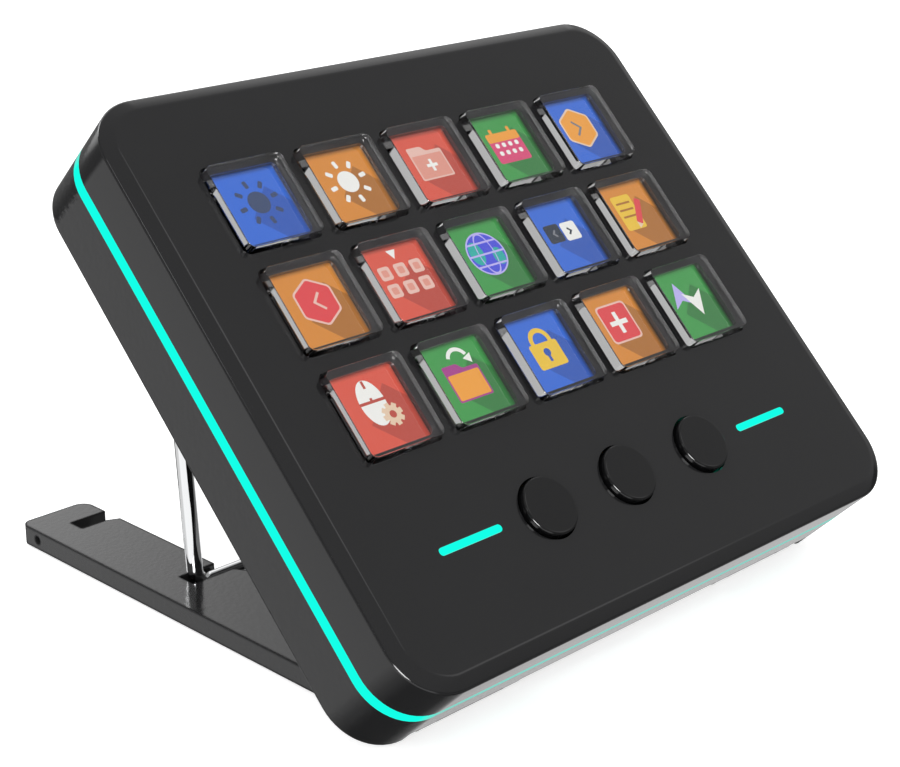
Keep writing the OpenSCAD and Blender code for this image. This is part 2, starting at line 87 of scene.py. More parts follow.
# Where gloss sees the floor darker, painted shade of the piece: from the floor back to the piece, outer and
# inner angle, and loss
SHADES = (
    ((-0.65, 0.65, 0.4), 50, 38, 1.0),
    ((0.58, -0.75, 0.36), 40, 20, 0.4),
    ((-0.67, -0.44, 0.6), 25, 12, 0.45),
    ((-0.12, -0.81, 0.56), 30, 15, 0.9),
)


# ---------------------------------------------------------------- colours and materials


def linear(code):
    """Linear RGBA of an sRGB hex colour."""
    channels = [int(code[i : i + 2], 16) / 255 for i in (1, 3, 5)]
    return tuple(c / 12.92 if c <= 0.04045 else ((c + 0.055) / 1.055) ** 2.4 for c in channels) + (1.0,)


def add_node(tree, kind, inputs=None, **settings):
    """Adds a node with its settings; an input is a value, or the output socket that it is linked to."""
    node = tree.nodes.new(kind)
    for name, value in settings.items():
        setattr(node, name, value)
    for socket, value in (inputs or {}).items():
        if isinstance(value, bpy.types.NodeSocket):
            tree.links.new(value, node.inputs[socket])
        else:
            node.inputs[socket].default_value = value
    return node


def finish(name, colour, grain=0.5, relief=0.0, vary=0.08, roughness=(0.4, 0.5), edge=0.0, **sockets):
    """A material: grain, relief and width of its painted dark edges in mm, and its spread of shade and
    roughness.
    """
    material = bpy.data.materials.new(name)
    material.use_nodes = True
    tree = material.node_tree
    shader = tree.nodes["Principled BSDF"]
    place = add_node(tree, "ShaderNodeTexCoord").outputs["Object"]
    fine = add_node(tree, "ShaderNodeTexNoise", {"Vector": place, "Scale": 1 / (grain * MM), "Detail": 2.0})
    broad = add_node(tree, "ShaderNodeTexNoise", {"Vector": place, "Scale": 1 / (CLOUD * MM), "Detail": 3.0})
    dark, light = (tuple(c * (1 + s * vary) for c in colour[:3]) + (1.0,) for s in (-1, 1))
    shade = add_node(tree, "ShaderNodeMix", {"Factor": broad.outputs["Fac"]}, data_type="RGBA")
    shade.inputs["A"].default_value, shade.inputs["B"].default_value = dark, light
    tree.links.new(shade.outputs["Result"], shader.inputs["Base Color"])
    uneven = {"Value": fine.outputs["Fac"], "From Min": NOISE_LOW, "From Max": NOISE_HIGH}
    uneven.update({"To Min": roughness[0], "To Max": roughness[1]})
    uneven = add_node(tree, "ShaderNodeMapRange", uneven)
    tree.links.new(uneven.outputs["Result"], shader.inputs["Roughness"])
    if relief:
        bump = add_node(tree, "ShaderNodeBump", {"Height": fine.outputs["Fac"], "Distance": relief * MM})
        tree.links.new(bump.outputs["Normal"], shader.inputs["Normal"])
    if edge:
        # Painted dark edges: gloss is taken away where the rounded normal turns away from the flat one,
        # standing in for the dark below that a rounded edge mirrors
        rounded = add_node(tree, "ShaderNodeBevel", {"Radius": edge * MM}, samples=8).outputs["Normal"]
        flat = add_node(tree, "ShaderNodeNewGeometry").outputs["True Normal"]
        turn = add_node(tree, "ShaderNodeVectorMath", {0: rounded, 1: flat}, operation="DOT_PRODUCT")
        gloss = {"Value": turn.outputs["Value"], "From Min": 0.94, "From Max": 0.99}
        gloss.update({"To Min": 0.0, "To Max": 0.5})
        gloss = add_node(tree, "ShaderNodeMapRange", gloss)
        tree.links.new(gloss.outputs["Result"], shader.inputs["Specular IOR Level"])
    for socket, value in sockets.items():
        shader.inputs[socket.replace("_", " ")].default_value = value
    return material


def lit(name, colour, soft=0.0, grazing_sheen=None):
    """A surface with its own light: in a second, paler colour at a grazing view as a painted sheen, or soft
    at its UV square's edges.
    """
    dim = tuple(c * LIT_PAINT for c in colour[:3]) + (1.0,)
    own = {"Emission_Color": colour, "Emission_Strength": 1.0, "Specular_IOR_Level": 0.0}
    material = finish(name, dim, grain=0.6, roughness=(0.35, 0.4), **own)
    tree = material.node_tree
    shader = tree.nodes["Principled BSDF"].inputs
    if grazing_sheen:
        # Painted sheen: the glow turns to the paler colour at grazing views
        facing = add_node(tree, "ShaderNodeLayerWeight", {"Blend": 0.5}).outputs["Facing"]
        share = add_node(tree, "ShaderNodeMapRange", {"Value": facing, "From Min": 0.72, "From Max": 0.92})
        shade = add_node(tree, "ShaderNodeMix", {"Factor": share.outputs["Result"]}, data_type="RGBA")
        shade.inputs["A"].default_value, shade.inputs["B"].default_value = colour, grazing_sheen
        tree.links.new(shade.outputs["Result"], shader["Emission Color"])
    if soft:
        uv = add_node(tree, "ShaderNodeTexCoord").outputs["UV"]
        off = add_node(tree, "ShaderNodeVectorMath", {0: uv, 1: (0.5, 0.5, 0)}, operation="SUBTRACT")
        off = add_node(tree, "ShaderNodeVectorMath", {0: off.outputs[0]}, operation="ABSOLUTE")
        axes = add_node(tree, "ShaderNodeSeparateXYZ", {0: off.outputs[0]}).outputs
        far = add_node(tree, "ShaderNodeMath", {0: axes["X"], 1: axes["Y"]}, operation="MAXIMUM")
        fade = {"Value": far.outputs[0], "From Min": 0.5, "From Max": 0.5 - soft}
        fade = add_node(tree, "ShaderNodeMapRange", fade, interpolation_type="SMOOTHSTEP")
        tree.links.new(fade.outputs["Result"], shader["Emission Strength"])
    return material


# ---------------------------------------------------------------- meshes


def on_face(joint, offset=(0.0, 0.0, 0.0)):
    """Place of a key or dial in mm, moved by an offset: X to the right, Y up the face and Z out of it."""
    out = -Vector(JOINTS[joint]["axis"])
    right = Vector((1.0, 0.0, 0.0))
    turn = Matrix((right, out.cross(right), out)).transposed().to_4x4()
    place = Matrix.Translation(JOINTS[joint]["pos_m"])
    return place @ turn @ Matrix.Scale(MM, 4) @ Matrix.Translation(offset)


def make_piece(name, bm, place, materials, body, replaces=(), sharp=40):
    """Turns a bmesh in mm into a piece that rides on a body."""
    bmesh.ops.recalc_face_normals(bm, faces=bm.faces)
    bmesh.ops.transform(bm, matrix=place, verts=bm.verts)
    mesh = bpy.data.meshes.new(name)
    bm.to_mesh(mesh)
    bm.free()
    for material in materials:
        mesh.materials.append(material)
    mesh.shade_smooth()
    mesh.set_sharp_from_angle(angle=math.radians(sharp))
    piece = bpy.data.objects.new(name, mesh)
    bpy.context.scene.collection.objects.link(piece)
    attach(piece, body)
    if replaces:
        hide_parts(*replaces)
    piece.modifiers.new("normals", "WEIGHTED_NORMAL").keep_sharp = True
    return piece


def add_stack(bm, levels, corner, edge=0.0):
    """Adds a closed block with round corners from (half width, height) levels, its top edge rounded."""
    half, height = levels[0]
    turn = Matrix.Translation((0, 0, height)) @ Matrix.Rotation(math.pi / 4, 4, "Z")
    ring = bmesh.ops.create_circle(bm, cap_ends=True, segments=4, radius=half * math.sqrt(2), matrix=turn)
    bmesh.ops.bevel(
        bm, geom=ring["verts"], offset=corner, segments=6, profile=0.5, affect="VERTICES", material=-1
    )
    bottom = top = bm.faces[:][0]
    for wide, high in levels[1:]:
        raised = bmesh.ops.extrude_face_region(bm, geom=[top])["geom"]
        if top is not bottom:
            bmesh.ops.delete(bm, geom=[top], context="FACES_ONLY")
        verts = [item for item in raised if isinstance(item, bmesh.types.BMVert)]
        top = next(item for item in raised if isinstance(item, bmesh.types.BMFace))
        bmesh.ops.scale(bm, vec=(wide / half, wide / half, 1), verts=verts)
        bmesh.ops.translate(bm, vec=(0, 0, high - height), verts=verts)
        half, height = wide, high
    if edge:
        bmesh.ops.bevel(
            bm, geom=list(top.edges), offset=edge, segments=4, profile=0.5, affect="EDGES", material=-1
        )


class Picture:
    """Flat shapes of paint in mm, each layer a hair above the one below."""

    LAYER = 0.007

    def __init__(self, tile, size, middle):
        self.bm = bmesh.new()
        self.uv = self.bm.loops.layers.uv.new("UVMap")
        self.size = Vector(size)
        self.middle = Vector(middle)
        self.paints = []
        self.block(tile, *size, middle, layer=0)

    def lift(self, paint, old, place, layer):
        """Raises the flat faces that came after the old ones to their layer, in their paint."""
        if paint not in self.paints:
            self.paints.append(paint)
        flat = [face for face in self.bm.faces if face not in old]
        verts = {vert for face in flat for vert in face.verts}
        bmesh.ops.transform(self.bm, matrix=place, verts=list(verts))
        bmesh.ops.translate(self.bm, vec=(0, 0, self.LAYER * (layer - 0.5)), verts=list(verts))
        made = bmesh.ops.extrude_face_region(self.bm, geom=flat)["geom"]
        upper = [item for item in made if isinstance(item, bmesh.types.BMVert)]
        bmesh.ops.translate(self.bm, vec=(0, 0, self.LAYER * 1.5), verts=upper)
        for face in self.bm.faces:
            if face not in old:
                face.material_index = self.paints.index(paint)
                for loop in face.loops:
                    off = loop.vert.co.xy - self.middle
                    loop[self.uv].uv = (off.x / self.size.x + 0.5, off.y / self.size.y + 0.5)

    def disc(self, paint, radius, at=(0, 0), sides=40, turn=0.0, layer=1, squash=(1, 1), corner=0.0):
        """A disc, or a polygon with few sides and round corners."""
        old = set(self.bm.faces)
        spin = Matrix.Rotation(math.radians(turn), 4, "Z")
        ring = bmesh.ops.create_circle(self.bm, cap_ends=True, segments=sides, radius=radius, matrix=spin)
        if corner:
            bmesh.ops.bevel(
                self.bm,
                geom=ring["verts"],
                offset=corner,
                segments=4,
                profile=0.5,
                affect="VERTICES",
                material=-1,
            )
        place = Matrix.Translation((*at, 0)) @ Matrix.Diagonal((*squash, 1, 1))
        self.lift(paint, old, place, layer)

    def shape(self, paint, points, at=(0, 0), turn=0.0, layer=1, corner=0.0):
        """A polygon with round corners."""
        old = set(self.bm.faces)
        verts = [self.bm.verts.new((*point, 0)) for point in points]
        self.bm.faces.new(verts)
        if corner:
            bmesh.ops.bevel(
                self.bm, geom=verts, offset=corner, segments=4, profile=0.5, affect="VERTICES", material=-1
            )
        place = Matrix.Translation((*at, 0)) @ Matrix.Rotation(math.radians(turn), 4, "Z")
        self.lift(paint, old, place, layer)

    def block(self, paint, width, height, at=(0, 0), turn=0.0, layer=1, corner=0.0):
        """A rectangle with round corners."""
        x, y = width / 2, height / 2
        self.shape(paint, ((-x, -y), (x, -y), (x, y), (-x, y)), at, turn, layer, corner)

    def arc(self, paint, radius, width, at=(0, 0), start=0.0, sweep=360.0, layer=1, squash=(1, 1)):
        """A ring or a part of one."""
        old = set(self.bm.faces)
        verts = [self.bm.verts.new((radius + side * width / 2, 0, 0)) for side in (-1, 1)]
        edge = self.bm.edges.new(verts)
        first = Matrix.Rotation(math.radians(start), 3, "Z")
        bmesh.ops.rotate(self.bm, matrix=first, verts=verts)
        bmesh.ops.spin(
            self.bm,
            geom=[*verts, edge],
            axis=(0, 0, 1),
            steps=math.ceil(sweep / 10),
            angle=math.radians(sweep),
            use_merge=sweep == 360.0,
        )
        place = Matrix.Translation((*at, 0)) @ Matrix.Diagonal((*squash, 1, 1))
        self.lift(paint, old, place, layer)

    def chevron(self, paint, size, at=(0, 0), turn=0.0, layer=2, width=0.55):
        """Two strokes that point along X before the turn."""
        half = width / 2
        tip = size / 2
        points = ((-tip, size), (-tip - half, size - half), (tip - width, 0), (-tip - half, half - size))
        self.shape(paint, (*points, (-tip, -size), (tip, 0)), at, turn, layer)

    def plus(self, paint, size, at=(0, 0), layer=2, width=0.7):
        """An upright cross."""
        a, b = width / 2, size / 2
        upper = ((a, a), (a, b), (-a, b), (-a, a), (-b, a))
        lower = ((-b, -a), (-a, -a), (-a, -b), (a, -b), (a, -a), (b, -a), (b, a))
        self.shape(paint, upper + lower, at, layer=layer)

    def shadow(self, paint, reach):
        """A long shadow from the motif to the picture's lower right corner."""
        right, low = self.middle.x + self.size.x / 2, self.middle.y - self.size.y / 2
        ends = ((right, 2 * reach - right), (right, low), (-low - 2 * reach, low))
        self.shape(paint, ((reach, reach), *ends, (-reach, -reach)), layer=0.4)


# ---------------------------------------------------------------- settings


class KeypadFinish(bpy.types.PropertyGroup):
    """Colours of the keypad."""

    shell: bpy.props.FloatVectorProperty(
        name="Shell",
        description="Colour of the two shells",
        default=linear("#1F1F20"),
        size=4,
        subtype="COLOR",
    )
    dial: bpy.props.FloatVectorProperty(
        name="Dial",
        description="Colour of the dials",
        default=linear("#0E0E0F"),
        size=4,
        subtype="COLOR",
    )
    plate: bpy.props.FloatVectorProperty(
        name="Base plate",
        description="Colour of the base plate",
        default=linear("#2A2A2B"),
        size=4,
        subtype="COLOR",
    )
    glow: bpy.props.FloatVectorProperty(
        name="Light",
        description="Colour of the lit strip and bars",
        default=linear("#14FFE4"),
        size=4,
        subtype="COLOR",
    )
    cap: bpy.props.FloatVectorProperty(
        name="Key cap",
        description="Colour of the clear key caps",
        default=linear("#FAFAFA"),
        size=4,
        subtype="COLOR",
    )


class KeypadKeys(bpy.types.PropertyGroup):
    """Sizes of the keys, in millimetres."""

    cap_width: bpy.props.FloatProperty(name="Cap width", description="Width of a key cap", default=15.6)
    cap_height: bpy.props.FloatProperty(name="Cap height", description="Height above the face", default=1.7)
    cap_corner: bpy.props.FloatProperty(name="Cap corner", description="Radius of the corners", default=1.2)
    cap_edge: bpy.props.FloatProperty(name="Cap edge", description="Rounding of the top edge", default=0.15)
    cap_lean: bpy.props.FloatProperty(name="Cap lean", description="Lean of two of its walls", default=0.25)
    cap_depth: bpy.props.FloatProperty(name="Cap depth", description="Depth of the lower end", default=2.95)
    picture_width: bpy.props.FloatProperty(name="Picture", description="Width of a picture", default=14.4)
    picture_height: bpy.props.FloatProperty(name="Height", description="Height of a picture", default=15.4)
    picture_fade: bpy.props.FloatProperty(name="Fade", description="Width of its soft border", default=1.4)
    picture_pitch: bpy.props.FloatProperty(name="Pitch", description="From picture to picture", default=18.85)
    display_depth: bpy.props.FloatProperty(name="Display", description="Depth of the display", default=3.3)


class KeypadDials(bpy.types.PropertyGroup):
    """Sizes of the dials, in millimetres."""

    radius: bpy.props.FloatProperty(name="Radius", description="Radius of a dial", default=5.1)
    height: bpy.props.FloatProperty(name="Height", description="Height above the face", default=1.2)
    edge: bpy.props.FloatProperty(name="Edge", description="Rounding of a dial's top edge", default=0.45)


class KeypadStage(bpy.types.PropertyGroup):
    """Camera."""

    camera_place: bpy.props.FloatVectorProperty(
        name="Camera",
        description="Place of the camera",
        default=(-0.22938, -0.23179, 0.15087),
        subtype="TRANSLATION",
    )
    camera_down: bpy.props.FloatProperty(
        name="Down", description="Angle below the horizon", default=math.radians(19.162), subtype="ANGLE"
    )
    camera_turn: bpy.props.FloatProperty(
        name="Turn", description="Heading from +Y to +X", default=math.radians(44.819), subtype="ANGLE"
    )
    lens: bpy.props.FloatProperty(name="Lens", description="Focal length for a 36 mm sensor", default=78.97)


# ---------------------------------------------------------------- operators


class KEYPAD_OT_shells(bpy.types.Operator):
    """Finishes the front and rear shells and softens their edges."""

    bl_idname = "keypad.shells"
    bl_label = "Shells"

    def execute(self, context):
        look = context.scene.keypad_finish
        # ABS with a satin skin: even charcoal that mirrors its surroundings softly
        satin = finish("abs_satin", look.shell, grain=0.5, relief=0.0015, roughness=(0.08, 0.12))
        soften("front_shell", satin, 0.2)
        # ABS moulded in a spark-textured tool: a leathery grain that breaks up the shine
        rear = finish("abs_spark_textured", look.shell, grain=0.9, relief=0.04, roughness=(0.08, 0.14))
        for node in ("rear_shell", "prop_clips"):
            soften(node, rear, 0.15)
        return {"FINISHED"}


class KEYPAD_OT_lights(bpy.types.Operator):
    """Lights the strip between the shells and the two bars in the face."""

    bl_idname = "keypad.lights"
    bl_label = "Lights"

    def execute(self, context):
        # Opal polycarbonate over lamps: one flat bright colour with no hot spots, with a painted sheen of
        # pale teal at grazing views
        glow = lit("polycarbonate_lit", context.scene.keypad_finish.glow, grazing_sheen=linear("#88D0C4"))
        for node in ("light_strip", "light_bar_left", "light_bar_right"):
            dress(node, glow)
        return {"FINISHED"}


class KEYPAD_OT_pictures(bpy.types.Operator):
    """Draws the display's fifteen lit pictures."""

    bl_idname = "keypad.pictures"
    bl_label = "Pictures"

    def execute(self, context):
        keys = context.scene.keypad_keys
        soft = keys.picture_fade / keys.picture_width
        # A display behind clear caps: plain flat paints of light, soft at the picture's border
        lights = {paint: lit(f"display_light_{paint}", linear(code), soft) for paint, code in PAINTS.items()}
        squeeze = keys.picture_pitch - KEY_PITCH
        for row, column in KEYS:
            right = PICTURE_SHIFT[0] + squeeze * (column - MIDDLE_COLUMN)
            up = PICTURE_SHIFT[1] + squeeze * (MIDDLE_ROW - row)
            tile, reach, motif, details = PICTURES[row - 1][column - 1]
            draw = Picture(tile, (keys.picture_width, keys.picture_height), PICTURE_MIDDLE)
            draw.shadow(f"{tile}_shade", reach)
            motif(draw, *details)
            make_piece(
                f"picture_r{row}c{column}",
                draw.bm,
                on_face(f"press_key_{row}_{column}", (right, up, -keys.display_depth)),
                [lights[paint] for paint in draw.paints],
                "head",
            )
        return {"FINISHED"}


class KEYPAD_OT_caps(bpy.types.Operator):
    """Builds the fifteen clear key caps."""

    bl_idname = "keypad.caps"
    bl_label = "Key Caps"

    def execute(self, context):
        keys = context.scene.keypad_keys
        # Polished polycarbonate: clear block whose walls mirror the picture and whose edges catch the light
        clear = finish(
            "polycarbonate_clear",
            context.scene.keypad_finish.cap,
            grain=3,
            vary=0.0,
            roughness=(0.0, 0.01),
            Transmission_Weight=1.0,
            IOR=1.585,
        )
        # Ink on the lower walls and the flange: shiny dark grey, so that the display shows from above only
        ink = finish("ink_dark", linear("#3C3C3E"), grain=0.4, roughness=(0.04, 0.1))
        # Half widths and heights of the block from its lower end, with a flange that stays under the face
        half, plug, flange = keys.cap_width / 2, 6.7, 8.6
        flange_low, flange_top, margin = -1.7, -1.1, 0.1
        levels = [(plug, -keys.cap_depth), (plug, flange_low), (flange, flange_low), (flange, flange_top)]
        levels += [(half, flange_top), (half, 0), (half, keys.cap_height)]
        for row, column in KEYS:
            bm = bmesh.new()
            add_stack(bm, levels, keys.cap_corner * plug / half, edge=keys.cap_edge)
            for lean in (Vector((-keys.cap_lean, 0, 0)), Vector((0, -keys.cap_lean, 0))):
                far = [vert for vert in bm.verts if vert.co.z > keys.cap_height / 2 and vert.co.dot(lean) < 0]
                bmesh.ops.translate(bm, vec=lean, verts=far)
            for face in bm.faces:
                middle = face.calc_center_median().z
                face.material_index = int(margin - keys.cap_depth < middle < flange_top + margin)
            make_piece(
                f"cap_r{row}c{column}",
                bm,
                on_face(f"press_key_{row}_{column}"),
                [clear, ink],
                f"key_{row}_{column}",
                [f"key_r{row}c{column}"],
            )
        return {"FINISHED"}


class KEYPAD_OT_dials(bpy.types.Operator):
    """Turns the three push dials."""

    bl_idname = "keypad.dials"
    bl_label = "Dials"

    def execute(self, context):
        dials = context.scene.keypad_dials
        # Gloss black ABS: dark, with crisp thin highlights along the rim
        black = finish(
            "abs_gloss_black", context.scene.keypad_finish.dial, grain=0.8, roughness=(0.05, 0.09), IOR=1.54
        )
        # Turned steel: bright grey with a soft shine
        steel = finish("steel_turned", linear("#B8B8BA"), grain=0.3, roughness=(0.25, 0.35), Metallic=1.0)
        # Radius and top of the hub on the shaft, radius of the groove round it, and the lower end
        hub, hub_top, groove, low = 2.6, -0.6, 4.25, -3.6
        flat, shoulder = dials.radius - dials.edge, dials.height - dials.edge
        outline = [(0, low), (hub, low), (hub, hub_top)]
        outline += [(groove, hub_top), (groove, low), (dials.radius, low)]
        for turn in (step * math.pi / 12 for step in range(7)):
            outline.append((flat + dials.edge * math.cos(turn), shoulder + dials.edge * math.sin(turn)))
        outline.append((0, dials.height))
        for dial in DIALS:
            bm = bmesh.new()
            verts = [bm.verts.new((r, 0, z)) for r, z in outline]
            geom = verts + [bm.edges.new(pair) for pair in zip(verts, verts[1:])]
            axis, middle = (0, 0, 1), (0, 0, 0)
            bmesh.ops.spin(bm, geom=geom, axis=axis, cent=middle, steps=96, angle=math.tau, use_merge=True)
            bmesh.ops.remove_doubles(bm, verts=bm.verts, dist=1e-4)
            make_piece(
                f"dial_cap_{dial}",
                bm,
                on_face(f"press_knob_{dial}"),
                [black],
                f"knob_{dial}",
                [f"dial_{dial}"],
            )
            dress(f"dial_shaft_{dial}", steel)
        return {"FINISHED"}


class KEYPAD_OT_stand(bpy.types.Operator):
    """Finishes the base plate, its pads, the hinge pins and the wire prop."""

    bl_idname = "keypad.stand"
    bl_label = "Stand"

    def execute(self, context):
        # ABS in a fine-grained tool with some gloss: dark grey that mirrors the prop, with painted dark lines
        # along its edges where gloss is taken away
        plate = finish(
            "abs_fine_grained",
            context.scene.keypad_finish.plate,
            grain=0.8,
            relief=0.032,
            roughness=(0.1, 0.16),
            edge=0.9,
            IOR=1.5,
        )
        soften("base_plate", plate, 0.1)
        # Chromed steel wire: a bright mirror with dark and white streaks along it
        chrome = finish("steel_chromed", linear("#E4E5E6"), grain=2, roughness=(0.04, 0.07), Metallic=1.0)
        dress("prop_wire", chrome)
        # Silicone rubber: dull black
        rubber = finish("rubber_silicone", linear("#1B1B1C"), grain=0.4, relief=0.01, roughness=(0.7, 0.85))
        dress("base_pads", rubber)
        # Plain steel: bright grey with a soft shine
        steel = finish("steel_pin", linear("#B4B4B6"), grain=0.3, roughness=(0.25, 0.35), Metallic=1.0)
        for node in ("hinge_pins", "clip_screws", "tray_screws", "board_screws"):
            dress(node, steel)
        # Blackened steel: dark screws with a dull shine
        black = finish("steel_blackened", linear("#3C3C3E"), grain=0.3, roughness=(0.35, 0.5), Metallic=1.0)
        dress("case_screws", black)
        return {"FINISHED"}


class KEYPAD_OT_inside(bpy.types.Operator):
    """Finishes what is inside the head."""

    bl_idname = "keypad.inside"
    bl_label = "Inside"

    def execute(self, context):
        # Cover glass of the display: smooth and black when unlit
        glass = finish("glass_black", linear("#060607"), grain=2, roughness=(0.05, 0.1), IOR=1.5)
        dress("display_panel", glass)
        # Silicone mat: dull dark grey
        mat = finish("silicone_mat", linear("#141415"), grain=0.5, relief=0.01, roughness=(0.6, 0.75))
        dress("key_mat", mat)
        # Polyimide film: translucent amber
        dress("display_ribbon", finish("polyimide_film", linear("#B5752A"), grain=1, roughness=(0.25, 0.35)))
        # Moulded tray: dull mid grey
        tray = finish("abs_plain", linear("#4A4A4C"), grain=0.6, relief=0.01, roughness=(0.5, 0.65))
        dress("display_tray", tray)
        # Solder mask over glass-fibre laminate: glossy dark green, and white under the strip's lamps
        dress("main_board", finish("solder_mask_green", linear("#12402A"), grain=0.8, roughness=(0.25, 0.4)))
        dress("edge_leds", finish("solder_mask_white", linear("#E8E6DE"), grain=0.8, roughness=(0.35, 0.45)))
        # Moulded epoxy: dull black chips
        epoxy = finish("epoxy_moulded", linear("#1A1A1B"), grain=0.3, relief=0.01, roughness=(0.6, 0.7))
        dress("board_parts", epoxy)
        # Nickel plate on sheet steel: warm bright grey
        nickel = finish("nickel_plated", linear("#BDBBB5"), grain=0.5, roughness=(0.25, 0.35), Metallic=1.0)
        dress("usb_socket", nickel)
        # Acetal: smooth buff plastic
        acetal = finish("acetal", linear("#D8CBA0"), grain=0.6, roughness=(0.35, 0.45))
        for dial in DIALS:
            dress(f"encoder_case_{dial}", nickel)
            dress(f"encoder_rotor_{dial}", acetal)
        return {"FINISHED"}


class KEYPAD_OT_stage(bpy.types.Operator):
    """Sets the floor, the studio light and the camera."""

    bl_idname = "keypad.stage"
    bl_label = "Stage"

    def execute(self, context):
        scene = context.scene
        stage = scene.keypad_stage
        floor_mesh = bpy.data.meshes.new("floor")
        bm = bmesh.new()
        bmesh.ops.create_grid(bm, x_segments=1, y_segments=1, size=4)
        bm.to_mesh(floor_mesh)
        bm.free()
        floor = bpy.data.objects.new("floor", floor_mesh)
        scene.collection.objects.link(floor)
        floor_mesh.materials.append(studio_floor())
        scene.world = studio_world()
        light = bpy.data.lights.new("key_light", "AREA")
        light.size = 0.5
        light.energy = 1.5
        lamp = bpy.data.objects.new("key_light", light)
        lamp.visible_glossy = False
        lamp.location = (-0.5, -0.6, 0.9)
        lamp.rotation_euler = (Vector((0, 0, 0.05)) - lamp.location).to_track_quat("-Z", "Y").to_euler()
        scene.collection.objects.link(lamp)
        camera = bpy.data.cameras.new("camera")
        camera.lens = stage.lens
        camera.shift_x, camera.shift_y = 0.0136, -0.0253
        camera.clip_start, camera.clip_end = 0.01, 20
        eye = bpy.data.objects.new("camera", camera)
        eye.location = stage.camera_place
        eye.rotation_euler = (math.pi / 2 - stage.camera_down, 0, -stage.camera_turn)
        scene.collection.objects.link(eye)
        scene.camera = eye
        scene.view_settings.view_transform = "Standard"
        return {"FINISHED"}


def dress(node, material):
    """Gives a carried-over node its material."""
    mesh = frame["nodes"][node].data
    mesh.materials.clear()
    mesh.materials.append(material)
    return frame["nodes"][node]


def soften(node, material, width):
    """Gives a carried-over node its material and rounds its sharp edges by width mm."""
    piece = dress(node, material)
    piece.modifiers.new("weld", "WELD").merge_threshold = WELD * MM
    flats = piece.modifiers.new("flats", "DECIMATE")
    flats.decimate_type = "DISSOLVE"
    flats.angle_limit = math.radians(FLAT)
    edges = piece.modifiers.new("edges", "BEVEL")
    edges.width = width * MM
    edges.segments = 2
    edges.limit_method = "ANGLE"
    edges.angle_limit = math.radians(SHARP)
    edges.use_clamp_overlap = True
    piece.modifiers.new("normals", "WEIGHTED_NORMAL")
    return piece


def ramp(tree, value, *stops):
    """A grey ramp over a value, from stops of place and shade."""
    node = add_node(tree, "ShaderNodeValToRGB", {"Fac": value})
    band = node.color_ramp
    for _ in stops[2:]:
        band.elements.new(1.0)
    for element, (place, shade) in zip(band.elements, stops):
        element.position, element.color = place, (shade, shade, shade, 1.0)
    return node.outputs["Color"]


def near(tree, way, towards, wide, narrow):
    """1 where a direction is within narrow degrees of another one, 0 beyond wide degrees of it."""
    aim = Vector(towards).normalized()
    dot = add_node(tree, "ShaderNodeVectorMath", {0: way, 1: aim}, operation="DOT_PRODUCT").outputs["Value"]
    far, close = math.cos(math.radians(wide)), math.cos(math.radians(narrow))
    share = {"Value": dot, "From Min": far, "From Max": close}
    return add_node(tree, "ShaderNodeMapRange", share, interpolation_type="SMOOTHSTEP").outputs[0]


def calculate(tree, operation, a, b):
    """One step of arithmetic."""
    return add_node(tree, "ShaderNodeMath", {0: a, 1: b}, operation=operation).outputs[0]


def studio_floor():
    """White paper floor with the object's shadow; in gloss bright to the back and dark straight below,
    painted shade of the object.
    """
    material = bpy.data.materials.new("floor_paper")
    material.use_nodes = True
    tree = material.node_tree
    tree.nodes.clear()
    path = add_node(tree, "ShaderNodeLightPath").outputs
    paper = add_node(tree, "ShaderNodeBsdfDiffuse", {"Color": (0.85, 0.85, 0.85, 1)})
    lift = calculate(tree, "MULTIPLY", path["Is Camera Ray"], 0.7)
    glow = add_node(tree, "ShaderNodeEmission", {"Color": (1, 1, 1, 1), "Strength": lift})
    seen = add_node(tree, "ShaderNodeAddShader", {0: paper.outputs[0], 1: glow.outputs[0]})
    way = add_node(tree, "ShaderNodeNewGeometry").outputs["Incoming"]
    rise = add_node(tree, "ShaderNodeSeparateXYZ", {0: way}).outputs["Z"]
    # Painted shade: in gloss the floor goes dark where rays come steeply down to it, beneath the object, and
    # dims towards the horizon
    bright = ramp(tree, rise, (0.15, 0.15), (0.2, 0.95), (0.6, 1.0), (0.78, 0.3), (0.92, 0.06))
    level = 1.2
    # Painted shade of the piece on the floor, seen only in gloss
    for towards, wide, narrow, loss in SHADES:
        shade = calculate(tree, "MULTIPLY", near(tree, way, towards, wide, narrow), loss)
        level = calculate(tree, "SUBTRACT", level, shade)
    bright = calculate(tree, "MULTIPLY", bright, level)
    mirrored = add_node(tree, "ShaderNodeEmission", {"Strength": bright})
    mix = {0: path["Is Glossy Ray"], 1: seen.outputs[0], 2: mirrored.outputs[0]}
    mix = add_node(tree, "ShaderNodeMixShader", mix)
    add_node(tree, "ShaderNodeOutputMaterial", {"Surface": mix.outputs[0]})
    return material


